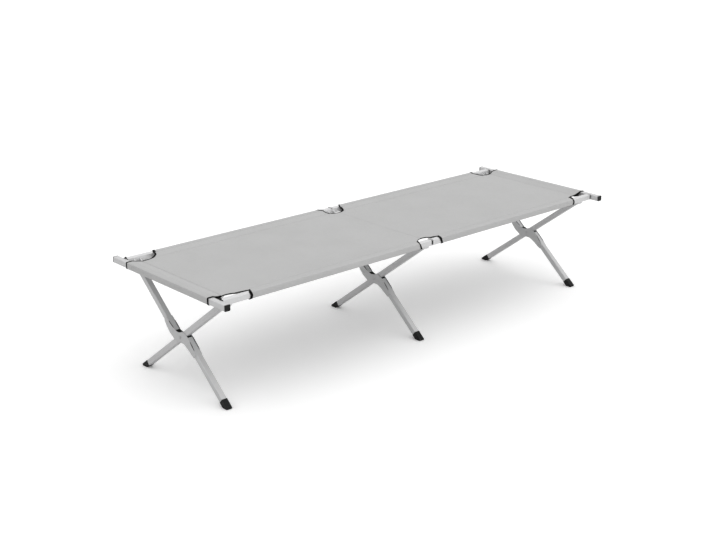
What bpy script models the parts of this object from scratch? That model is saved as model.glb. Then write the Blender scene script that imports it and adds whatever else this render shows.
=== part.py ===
"""Folding camp bed: square aluminium tube frame on three crossed leg units, with a fabric lying surface.

Metres, +Z up. X runs along the bed, -Y is its near side, and the origin is on the floor under its middle.
Two side rails, each in two halves on a mid hinge, carry the fabric, and an end bar crosses each end. A leg
unit is a scissor: leg B is one straight tube, and leg A is two tubes side by side with it, joined round it
by two stamped plates. A bracket on each rail lets a leg swing along the rail and fold about its own pin.
"""

from math import asin, atan2, copysign, cos, hypot, pi, radians, sin, sqrt, tan

import bmesh
import bpy
from mathutils import Matrix, Vector

# Overall sizes
RAIL_SPACING = 0.582
RAIL_TOP = 0.420
BAR_SPACING = 1.970
BAR_TUBE = 0.678
LEG_UNIT_X = 0.933
HINGE_X = 0.010
PIVOT_Z = 0.1915

# Tube
TUBE = 0.022
WALL = 0.0015
TUBE_CORNER = 0.0025

# Clearances
FIT = 0.0003
LEG_GAP = 0.001

# Brackets and pins
SHEET = 0.002
PIN_IN = 0.025
PIN_BELOW = 0.0172
SWING_OFFSET = 0.029
PIN_RADIUS = 0.004
HEAD_RADIUS = 0.0065
HEAD_HEIGHT = 0.0012
BRACKET_TOP = 0.008
BRACKET_LOW = 0.027
BRACKET_DEEP = 0.034

# Plates at the crossing
A_TUBE_START = 0.021
RIVET_PLACES = (0.042, 0.080)
RIVET_RADIUS = 0.004
PLATE_HALF = (
    (0.098, -0.033),
    (0.098, -0.011),
    (0.078, -0.008),
    (0.051, -0.005),
    (0.029, 0.001),
    (0.012, 0.014),
    (0.002, 0.032),
    (-0.017, 0.037),
    (-0.048, 0.042),
    (-0.075, 0.039),
)

# Feet, caps and plugs
FOOT_EDGE = 0.022
FOOT_TIP_ROUND = 0.004
FOOT_HEEL_ROUND = 0.003
PLUG_LENGTH = 0.018
CAP_FLANGE = 0.0035
RAIL_FLANGE = 0.005
TAB_WIDE = 0.006
TAB_RISE = 0.0055

# Mid hinge
HINGE_RISE = 0.0005
KNUCKLE_RADIUS = 0.003
KNUCKLE_HALF = 0.004
HINGE_PIN_RADIUS = 0.0015
HINGE_FLANGE = 0.003
HINGE_PLUG = 0.022

# Fabric
CLOTH = 0.001
LYING_DROP = 0.0095
SIDE_SEAM = 0.041
END_SEAM = 0.0525
FABRIC_X = 0.009
SLEEVE_END = 0.860
MID_CUT = 0.054
MID_CUT_DEPTH = 0.040
POCKET_HALF = 0.251
CORNER_CUT = (
    (0.066, 0.0210),
    (0.20, 0.0330),
    (0.415, 0.0425),
    (0.63, 0.0455),
    (0.84, 0.0435),
)

# Worked out from the sizes above
HALF = TUBE / 2
RAIL_Y = RAIL_SPACING / 2
RAIL_Z = RAIL_TOP - HALF
BAR_X = BAR_SPACING / 2
PIN_Y = RAIL_Y - PIN_IN
PIN_Z = RAIL_Z - PIN_BELOW
REACH = hypot(PIN_Y, PIN_Z - PIVOT_Z)
B_ANGLE = atan2(PIN_Z - PIVOT_Z, PIN_Y)
A_OFFSET = TUBE + LEG_GAP
A_ANGLE = B_ANGLE + asin(A_OFFSET / REACH)
A_REACH = sqrt(REACH**2 - A_OFFSET**2)
CHEEK = HALF + FIT
EAR_OUTER = CHEEK + SHEET
HOLE_RADIUS = PIN_RADIUS + FIT
PLUG_HALF = HALF - WALL - FIT
HINGE_Z = RAIL_TOP + HINGE_RISE
SLEEVE_IN = HALF + FIT
SLEEVE_OUT = SLEEVE_IN + CLOTH
LYING_Z = SLEEVE_OUT - LYING_DROP
SIDES = {"near": -1, "far": 1}
HALVES = {"left": -1, "right": 1}
# How far each end bar, and each pocket on one, sits off the bed's middle line
BAR_Y = {"left": -0.005, "right": 0.0}
POCKET_Y = {"left": -0.005, "right": 0.004}
# Each leg unit: its place along the bed, the way from its legs to its swing pins, and its rail halves
UNITS = {"left": (-LEG_UNIT_X, 1, "left"), "mid": (0.0, -1, "left"), "right": (LEG_UNIT_X, -1, "right")}


# Scene, materials and bodies


def clear_scene():
    for obj in list(bpy.data.objects):
        bpy.data.objects.remove(obj, do_unlink=True)


def make_collection(name):
    collection = bpy.data.collections.new(name)
    bpy.context.scene.collection.children.link(collection)
    return collection


def make_material(name, colour, roughness, metallic=0.0):
    material = bpy.data.materials.new(name)
    material.use_nodes = True
    shader = material.node_tree.nodes["Principled BSDF"]
    shader.inputs["Base Color"].default_value = (*colour, 1.0)
    shader.inputs["Roughness"].default_value = roughness
    shader.inputs["Metallic"].default_value = metallic
    return material


def make_body(name, location):
    """An empty on a joint's axis, which carries the pieces of one moving body."""
    empty = bpy.data.objects.new(name, None)
    empty.location = location
    empty.empty_display_size = 0.05
    PARTS.objects.link(empty)
    return empty


# Outlines


def arc(centre, radius, start, end, steps):
    angles = [start + (end - start) * i / steps for i in range(steps + 1)]
    return [(centre[0] + radius * cos(a), centre[1] + radius * sin(a)) for a in angles]


def circle(centre, radius, steps=16):
    return arc(centre, radius, 0.0, 2 * pi * (steps - 1) / steps, steps - 1)


def box_outline(low, high):
    return [low, (high[0], low[1]), high, (low[0], high[1])]


def filleted(points, radii, steps=2):
    """The closed outline with each corner rounded to its radius, where that is not zero."""
    rounded = []
    for i, corner in enumerate(points):
        if radii[i] == 0.0:
            rounded.append(corner)
            continue
        here = Vector(corner)
        before = (Vector(points[i - 1]) - here).normalized()
        after = (Vector(points[(i + 1) % len(points)]) - here).normalized()
        half_angle = before.angle(after) / 2
        centre = here + (before + after).normalized() * radii[i] / sin(half_angle)
        reach = radii[i] / tan(half_angle)
        first = here + before * reach - centre
        last = here + after * reach - centre
        start = atan2(first.y, first.x)
        turn = atan2(last.y, last.x) - start
        turn -= 2 * pi * round(turn / (2 * pi))
        rounded += arc(centre, radii[i], start, start + turn, steps)
    return rounded


def square(half, corner, centre=(0.0, 0.0)):
    x, y = centre
    return filleted(box_outline((x - half, y - half), (x + half, y + half)), [corner] * 4)


def softened(points):
    """The closed outline with every corner cut off at a quarter of its edges."""
    soft = []
    for i, corner in enumerate(points):
        here, after = Vector(corner), Vector(points[(i + 1) % len(points)])
        soft += [tuple(here.lerp(after, 0.25)), tuple(here.lerp(after, 0.75))]
    return soft


# Solids


def place(plane, along, point):
    u, v = point
    return {"YZ": (along, u, v), "XZ": (u, along, v), "XY": (u, v, along)}[plane]


def solid(name, plane, outline, span, body, material=None, inner=None, frame=None):
    """A flat outline, with an inner loop of as many points as its hole, extruded across its plane.

    With no material it is a cutter, which a Boolean takes away or joins on.
    """
    shape = bmesh.new()
    loops = [outline] if inner is None else [outline, inner]
    ends = [[[shape.verts.new(place(plane, a, p)) for p in loop] for loop in loops] for a in sorted(span)]
    for low, high in zip(*ends):
        for i in range(len(low)):
            shape.faces.new((low[i - 1], low[i], high[i], high[i - 1]))
    for end in ends:
        if inner is None:
            shape.faces.new(end[0])
            continue
        for i in range(len(outline)):
            shape.faces.new((end[0][i - 1], end[0][i], end[1][i], end[1][i - 1]))
    if frame is not None:
        shape.transform(frame)
    shape.transform(Matrix.Translation(-body.location))
    bmesh.ops.recalc_face_normals(shape, faces=shape.faces)
    mesh = bpy.data.meshes.new(name)
    shape.to_mesh(mesh)
    shape.free()
    mesh.shade_smooth()
    mesh.set_sharp_from_angle(angle=radians(35))
    obj = bpy.data.objects.new(name, mesh)
    if material is None:
        CUTTERS.objects.link(obj)
        obj.hide_render = True
        obj.display_type = "WIRE"
    else:
        PARTS.objects.link(obj)
        mesh.materials.append(material)
    obj.parent = body
    return obj


def combine(target, operation, others):
    for other in others:
        modifier = target.modifiers.new(other.name, "BOOLEAN")
        modifier.operation = operation
        modifier.object = other
    return target


def join(target, others):
    return combine(target, "UNION", others)


def cut(target, others):
    return combine(target, "DIFFERENCE", others)


def rod(name, plane, centre, radius, span, body, frame=None, steps=16):
    return solid(name, plane, circle(centre, radius, steps), span, body, frame=frame)


def tube(name, plane, centre, span, body, frame=None):
    inner = square(HALF - WALL, TUBE_CORNER - WALL, centre)
    return solid(name, plane, square(HALF, TUBE_CORNER, centre), span, body, ALUMINIUM, inner, frame)


def plugged(name, plane, centre, face, inner, body, material):
    """A flange from face to inner on the end of a tube, with a stem on into the tube."""
    way = copysign(1, inner - face)
    flange = solid(name, plane, square(HALF, TUBE_CORNER, centre), (face, inner), body, material)
    stem_outline = square(PLUG_HALF, TUBE_CORNER - WALL, centre)
    stem_span = ((face + inner) / 2, inner + way * PLUG_LENGTH)
    return join(flange, [solid(f"{name}_stem", plane, stem_outline, stem_span, body)])


# Rails


def swing_x(unit):
    x, inboard, _ = UNITS[unit]
    return x + inboard * SWING_OFFSET


def make_rail(side, half, body):
    """A rail half with its hinge block, its end plug and the sleeve of fabric round it."""
    name, way, y = f"{side}_{half}", HALVES[half], SIDES[side] * RAIL_Y
    centre = (y, RAIL_Z)
    outer = way * (BAR_X - HALF - 2 * FIT - RAIL_FLANGE)
    inner = HINGE_X + way * (FIT / 2 + HINGE_FLANGE + FIT)
    rail = tube(f"{name}_rail", "YZ", centre, (outer, inner), body)
    across = (y - TUBE, y + TUBE)
    units = [unit for unit, (_, _, on_half) in UNITS.items() if on_half == half]
    cut(rail, [rod(f"{name}_hole_{u}", "XZ", (swing_x(u), RAIL_Z), HOLE_RADIUS, across, body) for u in units])
    face = way * (BAR_X - HALF - FIT)
    back = face - way * RAIL_FLANGE
    plug = plugged(f"{name}_end_plug", "YZ", centre, face, back, body, PLASTIC)
    if half == "left":
        tab = box_outline((y - TAB_WIDE / 2, RAIL_TOP - HALF / 2), (y + TAB_WIDE / 2, RAIL_TOP + TAB_RISE))
        tab = filleted(tab, [0.0, 0.0, TAB_WIDE / 3, TAB_WIDE / 3], 3)
        join(plug, [solid(f"{name}_tab", "YZ", tab, (face, back), body)])
    make_hinge_block(name, way, y, body)
    make_sleeve(name, side, way, body)


def make_hinge_block(name, way, y, body):
    """A block in the rail's end, with a flange at the joint and knuckles on the hinge axis over it."""
    centre = (y, RAIL_Z)
    face = HINGE_X + way * FIT / 2
    back = face + way * HINGE_FLANGE
    block = solid(f"{name}_hinge_block", "YZ", square(HALF, TUBE_CORNER, centre), (face, back), body, PLASTIC)
    stem_outline = square(PLUG_HALF, TUBE_CORNER - WALL, centre)
    stem_span = (face + way * HINGE_FLANGE / 2, back + way * HINGE_PLUG)
    join(block, [solid(f"{name}_hinge_stem", "YZ", stem_outline, stem_span, body)])
    middle = [(-KNUCKLE_HALF, KNUCKLE_HALF)]
    outers = [(-HALF, -KNUCKLE_HALF - FIT), (KNUCKLE_HALF + FIT, HALF)]
    own = outers if way < 0 else middle
    room = [(-KNUCKLE_HALF - FIT, KNUCKLE_HALF + FIT)] if way < 0 else [(-TUBE, -KNUCKLE_HALF), (KNUCKLE_HALF, TUBE)]
    axis = (HINGE_X, HINGE_Z)
    cuts, joined = [], []
    for i, (low, high) in enumerate(room):
        span = (y + low, y + high)
        cuts.append(rod(f"{name}_knuckle_room_{i}", "XZ", axis, KNUCKLE_RADIUS + FIT, span, body))
    cut(block, cuts)
    root_low = (HINGE_X + way * FIT / 2, HINGE_Z - KNUCKLE_RADIUS)
    root_high = (HINGE_X + way * KNUCKLE_RADIUS, HINGE_Z)
    for i, (low, high) in enumerate(own):
        span = (y + low, y + high)
        joined.append(rod(f"{name}_knuckle_{i}", "XZ", axis, KNUCKLE_RADIUS, span, body))
        joined.append(solid(f"{name}_knuckle_root_{i}", "XZ", box_outline(root_low, root_high), span, body))
    join(block, joined)
    hole_span = (y - TUBE, y + TUBE)
    return cut(block, [rod(f"{name}_hinge_hole", "XZ", axis, HINGE_PIN_RADIUS + FIT, hole_span, body, None, 12)])


def make_hinge_pin(side, body):
    y = SIDES[side] * RAIL_Y
    end = HALF + FIT
    axis = (HINGE_X, HINGE_Z)
    outline = circle(axis, HINGE_PIN_RADIUS, 12)
    pin = solid(f"{side}_hinge_pin", "XZ", outline, (y - end - 0.0004, y + end + 0.0004), body, STEEL)
    heads = [(y - end - 0.0008, y - end), (y + end, y + end + 0.0008)]
    names = (f"{side}_hinge_pin_head_0", f"{side}_hinge_pin_head_1")
    return join(pin, [rod(n, "XZ", axis, 0.0024, span, body, None, 12) for n, span in zip(names, heads)])


def make_sleeve(name, side, way, body):
    """The fabric over, outside and under a rail half. Its two inner edges go on into the panel."""
    outward = SIDES[side]
    lip = -outward * (HALF + FIT / 2)
    points = [(lip, SLEEVE_OUT), (outward * SLEEVE_OUT, SLEEVE_OUT), (outward * SLEEVE_OUT, -SLEEVE_OUT)]
    points += [(lip, -SLEEVE_OUT), (lip, -SLEEVE_IN), (outward * SLEEVE_IN, -SLEEVE_IN)]
    points += [(outward * SLEEVE_IN, SLEEVE_IN), (lip, SLEEVE_IN)]
    out_round, in_round = TUBE_CORNER + FIT + CLOTH, TUBE_CORNER + FIT
    radii = [0.0, out_round, out_round, 0.0, 0.0, in_round, in_round, 0.0]
    outline = [(outward * RAIL_Y + u, RAIL_Z + w) for u, w in filleted(points, radii, 3)]
    span = (FABRIC_X + way * MID_CUT, FABRIC_X + way * SLEEVE_END)
    return solid(f"{name}_sleeve", "YZ", outline, span, body, FABRIC)


# End bars and fabric panels


def make_end_bar(half, body):
    x, y = HALVES[half] * BAR_X, BAR_Y[half]
    tube(f"{half}_end_bar", "XZ", (x, RAIL_Z), (y - BAR_TUBE / 2, y + BAR_TUBE / 2), body)
    for side, way in SIDES.items():
        seat = y + way * (BAR_TUBE / 2 + FIT)
        plugged(f"{half}_bar_cap_{side}", "XZ", (x, RAIL_Z), seat + way * CAP_FLANGE, seat, body, PLASTIC)


def layers(start, seam):
    """Outline of the two layers of a pocket that meet at a seam: (from the tube's centre, above it)."""
    low, high, lying = SLEEVE_IN, SLEEVE_OUT, LYING_Z
    fall = (high - lying) / (seam - start)
    rise = (lying + high) / (seam - start)
    meet = start + 2 * low / (fall + rise)
    return fall, rise, meet, low - fall * (meet - start)


def make_panel(half, body):
    """The lying surface over one half: a flat sheet, side margins that rise to the rails, an end pocket."""
    way = HALVES[half]
    start = HALF + FIT
    _, _, meet, meet_z = layers(start, SIDE_SEAM)
    under = LYING_Z - CLOTH
    near_part = [(start, -SLEEVE_IN), (meet, meet_z), (start, SLEEVE_IN), (start, SLEEVE_OUT), (SIDE_SEAM, LYING_Z)]
    far_part = [(-u, w) for u, w in reversed(near_part)]
    low_part = [(-start, -SLEEVE_OUT), (-SIDE_SEAM, under), (SIDE_SEAM, under), (start, -SLEEVE_OUT)]
    section = [(-RAIL_Y + u, RAIL_Z + w) for u, w in near_part]
    section += [(RAIL_Y + u, RAIL_Z + w) for u, w in far_part]
    section += [(RAIL_Y + u, RAIL_Z + w) for u, w in low_part[:2]]
    section += [(-RAIL_Y + u, RAIL_Z + w) for u, w in low_part[2:]]
    seam_x = way * (BAR_X - END_SEAM + 0.0015)
    panel = solid(f"{half}_panel", "YZ", section, (HINGE_X + way * FIT, seam_x), body, FABRIC)
    join(panel, [make_pocket(half, way, body)])
    cutters = []
    edge = abs(FABRIC_X + way * SLEEVE_END)
    reach = BAR_X - 0.028 - edge
    for side, out in SIDES.items():
        corner = [(way * (edge + part * reach), out * (RAIL_Y - depth)) for part, depth in CORNER_CUT]
        corner = [(way * edge, out * (RAIL_Y - HALF))] + corner
        corner += [(way * x, POCKET_Y[half] + out * POCKET_HALF) for x in (edge + reach, BAR_X + 0.03)]
        corner += [(way * x, out * (RAIL_Y + 0.03)) for x in (BAR_X + 0.03, edge)]
        cutters.append(solid(f"{half}_{side}_corner_cut", "XY", corner, (RAIL_Z - 0.03, RAIL_Z + 0.03), body))
        middle = [
            (FABRIC_X + MID_CUT * cos(a), out * (RAIL_Y - HALF - MID_CUT_DEPTH * sin(a)))
            for a in [pi * i / 12 for i in range(13)]
        ]
        middle += [(FABRIC_X - MID_CUT, out * (RAIL_Y + 0.03)), (FABRIC_X + MID_CUT, out * (RAIL_Y + 0.03))]
        cutters.append(solid(f"{half}_{side}_mid_cut", "XY", middle, (RAIL_Z - 0.03, RAIL_Z + 0.03), body))
    return cut(panel, cutters)


def make_pocket(half, way, body):
    """The loop of fabric round the end bar, closed by the end seam."""
    start = HALF + FIT
    _, _, meet, meet_z = layers(start, END_SEAM)
    out_round, in_round = TUBE_CORNER + FIT + CLOTH, TUBE_CORNER + FIT
    outer = [(-SLEEVE_OUT, SLEEVE_OUT), (start, SLEEVE_OUT), (END_SEAM, LYING_Z)]
    outer += [(END_SEAM, LYING_Z - CLOTH), (start, -SLEEVE_OUT), (-SLEEVE_OUT, -SLEEVE_OUT)]
    inner = [(-SLEEVE_IN, SLEEVE_IN), (start, SLEEVE_IN), (meet, meet_z + 0.00005)]
    inner += [(meet, meet_z - 0.00005), (start, -SLEEVE_IN), (-SLEEVE_IN, -SLEEVE_IN)]
    outer = filleted(outer, [out_round, 0.0, 0.0, 0.0, 0.0, out_round], 3)
    inner = filleted(inner, [in_round, 0.0, 0.0, 0.0, 0.0, in_round], 3)
    x, y = way * BAR_X, POCKET_Y[half]
    outer = [(x - way * u, RAIL_Z + w) for u, w in outer]
    inner = [(x - way * u, RAIL_Z + w) for u, w in inner]
    return solid(f"{half}_pocket", "XZ", outer, (y - POCKET_HALF, y + POCKET_HALF), body, inner=inner)


# Leg units


def leg_frame(unit, angle):
    return Matrix.Translation((UNITS[unit][0], 0.0, PIVOT_Z)) @ Matrix.Rotation(angle, 4, "X")


def rounded_end(name, pin, way, frame, body):
    """A cutter that rounds a leg tube's top end about its pin. The end points along way."""
    t, n = pin
    big = HALF + 0.001
    arc_points = arc((0.0, 0.0), HALF, -pi / 2, pi / 2, 12)
    outline = [(0.0, big), (big, big), (big, -big), (0.0, -big)] + arc_points
    outline = [(t + way * u, n + v) for u, v in outline]
    return solid(name, "YZ", outline, (-TUBE, TUBE), body, frame=frame)


def floor_at(n, angle):
    """Where a line at height n in a leg's own frame meets the floor."""
    return -(PIVOT_Z + n * cos(angle)) / sin(angle)


def make_foot(name, angle, n, frame, body):
    """A solid foot on the leg tube's square end, cut level with the floor. Returns where the tube ends."""
    way = -copysign(1, sin(angle))
    heel, tip = floor_at(n - HALF, angle), floor_at(n + HALF, angle)
    edge = heel - way * FOOT_EDGE
    outline = [(edge, n - HALF), (heel, n - HALF), (tip, n + HALF), (edge, n + HALF)]
    outline = filleted(outline, [0.0, FOOT_HEEL_ROUND, FOOT_TIP_ROUND, 0.0], 3)
    foot = solid(name, "YZ", outline, (-HALF, HALF), body, RUBBER, frame=frame)
    stem_span = (edge + way * FOOT_EDGE / 2, edge - way * PLUG_LENGTH)
    stem_outline = square(PLUG_HALF, TUBE_CORNER - WALL, (0.0, n))
    join(foot, [solid(f"{name}_stem", "XZ", stem_outline, stem_span, body, frame=frame)])
    return edge - way * FIT


def make_leg_b(unit, body):
    frame = leg_frame(unit, -B_ANGLE)
    end = make_foot(f"foot_far_{unit}", -B_ANGLE, 0.0, frame, body)
    leg = tube(f"leg_b_{unit}", "XZ", (0.0, 0.0), (-REACH - HALF, end), body, frame)
    holes = [rod(f"leg_b_{unit}_hole_{t}", "YZ", (t, 0.0), HOLE_RADIUS, (-TUBE, TUBE), body, frame) for t in (-REACH, 0.0)]
    return cut(leg, [rounded_end(f"leg_b_{unit}_top", (-REACH, 0.0), -1, frame, body), *holes])


def make_leg_a(unit, body):
    frame = leg_frame(unit, A_ANGLE)
    start, pin = A_TUBE_START, (A_REACH, -A_OFFSET)
    upper = tube(f"leg_a_upper_{unit}", "XZ", (0.0, -A_OFFSET), (start, A_REACH + HALF), body, frame)
    hole = rod(f"leg_a_{unit}_hole", "YZ", pin, HOLE_RADIUS, (-TUBE, TUBE), body, frame)
    cut(upper, [rounded_end(f"leg_a_{unit}_top", pin, 1, frame, body), hole])
    end = make_foot(f"foot_near_{unit}", A_ANGLE, A_OFFSET, frame, body)
    tube(f"leg_a_lower_{unit}", "XZ", (0.0, A_OFFSET), (-start, end), body, frame)
    outline = softened(list(PLATE_HALF) + [(-t, -n) for t, n in PLATE_HALF])
    for where, way in (("left", -1), ("right", 1)):
        name = f"plate_{unit}_{where}"
        plate = solid(name, "YZ", outline, (way * CHEEK, way * EAR_OUTER), body, ALUMINIUM, frame=frame)
        span = (way * (EAR_OUTER - SHEET / 2), way * (EAR_OUTER + HEAD_HEIGHT))
        places = [(way_t * t, -way_t * A_OFFSET) for way_t in (-1, 1) for t in RIVET_PLACES]
        rivets = [rod(f"{name}_rivet_{i}", "YZ", p, RIVET_RADIUS, span, body, frame, 10) for i, p in enumerate(places)]
        cut(plate, [rod(f"{name}_hole", "YZ", (0.0, 0.0), HOLE_RADIUS, (-TUBE, TUBE), body, frame)])
        join(plate, rivets)


def make_pivot_pin(unit, body):
    frame = leg_frame(unit, 0.0)
    reach = EAR_OUTER + FIT
    outline = circle((0.0, 0.0), PIN_RADIUS)
    pin = solid(f"pivot_pin_{unit}", "YZ", outline, (-reach - 0.0005, reach + 0.0005), body, STEEL, frame=frame)
    spans = [(-reach - HEAD_HEIGHT, -reach), (reach, reach + HEAD_HEIGHT)]
    name = f"pivot_pin_{unit}_head"
    return join(pin, [rod(f"{name}_{i}", "YZ", (0.0, 0.0), HEAD_RADIUS, s, body, frame) for i, s in enumerate(spans)])


def make_bracket(unit, side, body):
    """A folded bracket on the rail's inner face: a swing pin through the rail and a pin through the leg."""
    x, inboard, _ = UNITS[unit]
    out = SIDES[side]
    name = f"bracket_{side}_{unit}"
    back = [(-EAR_OUTER, -BRACKET_LOW), (EAR_OUTER, -BRACKET_LOW), (EAR_OUTER + 0.006, -0.0100)]
    back += [(SWING_OFFSET + 0.0085, -0.0085), (SWING_OFFSET + 0.0085, 0.008), (-EAR_OUTER, BRACKET_TOP)]
    back = filleted(back, [0.002, 0.002, 0.004, 0.007, 0.007, 0.003], 3)
    back = [(x + inboard * u, RAIL_Z + w) for u, w in back]
    inner = (out * (RAIL_Y - CHEEK), out * (RAIL_Y - CHEEK - SHEET))
    bracket = solid(name, "XZ", back, inner, body, STEEL)
    ear = [(CHEEK + SHEET / 2, -BRACKET_LOW), (0.024, -BRACKET_LOW), (BRACKET_DEEP, -PIN_BELOW - 0.004)]
    ear += [(BRACKET_DEEP, -PIN_BELOW + 0.009), (0.020, BRACKET_TOP - 0.006), (CHEEK + SHEET / 2, BRACKET_TOP - 0.002)]
    ear = filleted(ear, [0.0, 0.005, 0.006, 0.007, 0.008, 0.0], 3)
    ear = [(out * (RAIL_Y - u), RAIL_Z + w) for u, w in ear]
    joined = []
    for i, way in enumerate((-1, 1)):
        span = (x + way * CHEEK, x + way * (EAR_OUTER - 0.00002))
        joined.append(solid(f"{name}_ear_{i}", "YZ", ear, span, body))
    pin = (out * PIN_Y, PIN_Z)
    reach = EAR_OUTER + HEAD_HEIGHT
    joined.append(rod(f"{name}_leg_pin", "YZ", pin, PIN_RADIUS, (x - EAR_OUTER, x + EAR_OUTER), body))
    for i, way in enumerate((-1, 1)):
        span = (x + way * (EAR_OUTER - SHEET / 2), x + way * reach)
        joined.append(rod(f"{name}_leg_head_{i}", "YZ", pin, HEAD_RADIUS, span, body))
    swing = (swing_x(unit), RAIL_Z)
    flush = (out * (RAIL_Y + HALF - FIT), out * (RAIL_Y - CHEEK - SHEET / 2))
    joined.append(rod(f"{name}_swing_pin", "XZ", swing, PIN_RADIUS, flush, body))
    head = (out * (RAIL_Y - CHEEK - SHEET / 2), out * (RAIL_Y - CHEEK - SHEET - HEAD_HEIGHT))
    joined.append(rod(f"{name}_swing_head", "XZ", swing, HEAD_RADIUS, head, body))
    return join(bracket, joined)


# Run

clear_scene()
PARTS = make_collection("folding_camp_bed")
CUTTERS = make_collection("cutters")
ALUMINIUM = make_material("aluminium", (0.72, 0.73, 0.74), 0.35, 1.0)
STEEL = make_material("steel", (0.60, 0.60, 0.60), 0.4, 1.0)
PLASTIC = make_material("black_plastic", (0.02, 0.02, 0.02), 0.5)
RUBBER = make_material("rubber", (0.03, 0.03, 0.03), 0.8)
FABRIC = make_material("fabric", (0.50, 0.50, 0.50), 0.9)

for side, way in SIDES.items():
    rail_body = make_body(f"body_{side}_left_rail", (-BAR_X, way * RAIL_Y, RAIL_Z))
    make_rail(side, "left", rail_body)
    make_hinge_pin(side, rail_body)
    make_rail(side, "right", make_body(f"body_{side}_right_rail", (HINGE_X, way * RAIL_Y, HINGE_Z)))
for half, way in HALVES.items():
    make_end_bar(half, make_body(f"body_{half}_bar", (way * BAR_X, 0.0, RAIL_Z)))
    make_panel(half, bpy.data.objects[f"body_near_{half}_rail"])
for unit, (unit_x, _, _) in UNITS.items():
    for side, way in SIDES.items():
        make_bracket(unit, side, make_body(f"body_bracket_{side}_{unit}", (swing_x(unit), way * RAIL_Y, RAIL_Z)))
    make_leg_b(unit, make_body(f"body_leg_b_{unit}", (unit_x, -PIN_Y, PIN_Z)))
    leg_a_body = make_body(f"body_leg_a_{unit}", (unit_x, 0.0, PIVOT_Z))
    make_leg_a(unit, leg_a_body)
    make_pivot_pin(unit, leg_a_body)
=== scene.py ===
"""Looks for the folding camp bed: fabric lying surface, light-metal tubes, black plastic and rubber."""

from math import asin, atan2, cos, hypot, pi, radians, sin, sqrt

import bmesh
import bpy
from mathutils import Matrix, Vector, noise
from mathutils.geometry import delaunay_2d_cdt


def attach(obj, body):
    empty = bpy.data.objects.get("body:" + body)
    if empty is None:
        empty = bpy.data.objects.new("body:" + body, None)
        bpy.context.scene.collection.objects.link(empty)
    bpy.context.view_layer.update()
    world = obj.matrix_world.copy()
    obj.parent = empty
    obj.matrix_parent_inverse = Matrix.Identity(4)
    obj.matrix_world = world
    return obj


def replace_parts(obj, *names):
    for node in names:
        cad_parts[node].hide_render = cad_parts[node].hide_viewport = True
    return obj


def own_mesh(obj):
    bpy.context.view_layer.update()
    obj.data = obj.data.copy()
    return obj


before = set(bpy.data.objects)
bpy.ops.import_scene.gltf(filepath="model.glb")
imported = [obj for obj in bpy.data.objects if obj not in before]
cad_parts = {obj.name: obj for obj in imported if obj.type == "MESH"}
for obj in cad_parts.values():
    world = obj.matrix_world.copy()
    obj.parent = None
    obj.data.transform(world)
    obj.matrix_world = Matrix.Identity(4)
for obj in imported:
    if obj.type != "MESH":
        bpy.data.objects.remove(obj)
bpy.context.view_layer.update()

# Names of sides, halves and leg units, with the way each lies or its place along the bed

SIDES = {"near": -1, "far": 1}
HALVES = {"left": -1, "right": 1}
UNITS = {"left": -0.933, "mid": 0.0, "right": 0.933}

# Sizes shared with the part's source, in metres

TUBE = 0.022
HALF = TUBE / 2
TUBE_CORNER = 0.0025
FIT = 0.0003
SHEET = 0.002
CHEEK = HALF + FIT
EAR_OUTER = CHEEK + SHEET
RAIL_Y = 0.291
RAIL_Z = 0.409
BAR_X = 0.985
HINGE_X = 0.010

# Leg A's own frame: t runs up along the leg from the pivot and n stands square to it, upwards

PIVOT_Z = 0.1915
PIN_Y = RAIL_Y - 0.025
PIN_Z = RAIL_Z - 0.0172
REACH = hypot(PIN_Y, PIN_Z - PIVOT_Z)
B_ANGLE = atan2(PIN_Z - PIVOT_Z, PIN_Y)
A_OFFSET = TUBE + 0.001
A_ANGLE = B_ANGLE + asin(A_OFFSET / REACH)
A_TUBE_START = 0.021

# Fabric: u is measured inboard from a tube's centre line, w up from it

CLOTH = 0.001
FABRIC_X = 0.009
SLEEVE_IN = HALF + FIT
SLEEVE_OUT = SLEEVE_IN + CLOTH
SLEEVE_END = 0.860
LYING = SLEEVE_OUT - 0.0095
SIDE_SEAM = 0.041
END_SEAM = 0.0525
POCKET_HALF = 0.251
POCKET_Y = {"left": -0.005, "right": 0.004}
SAG = 0.0012
SAG_RUN = 0.05
WIDE_WAVE = 0.0007
FINE_WAVE = 0.0003
SWELL = 0.0002
SWELL_VARIES = 0.00025
GROOVE_DEEP = 0.0011
GROOVE_HALF = 0.0045
GROOVE_STOP = 0.95
END_GROOVE = {"left": 1.6, "right": 0.3}
STITCH_LINE = 0.0012
END_SEAM_ROWS = (-0.0035, -STITCH_LINE, 0.001, 0.004)
SIDE_SEAM_ROWS = (-0.0055, -0.0032, -STITCH_LINE, 0.001, 0.004)
STITCH_ROWS = (0.0, 0.0045)
STITCH_STEP = 0.0042
STITCH_LONG = 0.0026
STITCH_WIDE = 0.0005
STITCH_HIGH = 0.0003
STITCH_SUNK = 0.0002
SIDE_ROW = (0.037, SLEEVE_END + 0.030)
POCKET_ROW = 0.238
FINE_STEP = 0.006
EDGE_STEP = 0.007
FIELD_STEP = 0.010
ROUND_STEP = 0.012

# Cut-outs at the mid joint and, as parts of their length against u, at the corners

MID_CUT = 0.054
MID_CUT_DEPTH = 0.040
NEAR_LEFT_FLANK = 2.2
UNDER_CUT = 0.048
CORNER_CUT = (
    (0.0, 0.0110),
    (0.066, 0.0210),
    (0.20, 0.0330),
    (0.415, 0.0425),
    (0.63, 0.0455),
    (0.84, 0.0435),
)
CORNER_CUT_END = BAR_X - 0.028

# How far each sleeve end is cut off square: at its inner lip, top edge, outer face and low edge

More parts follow.
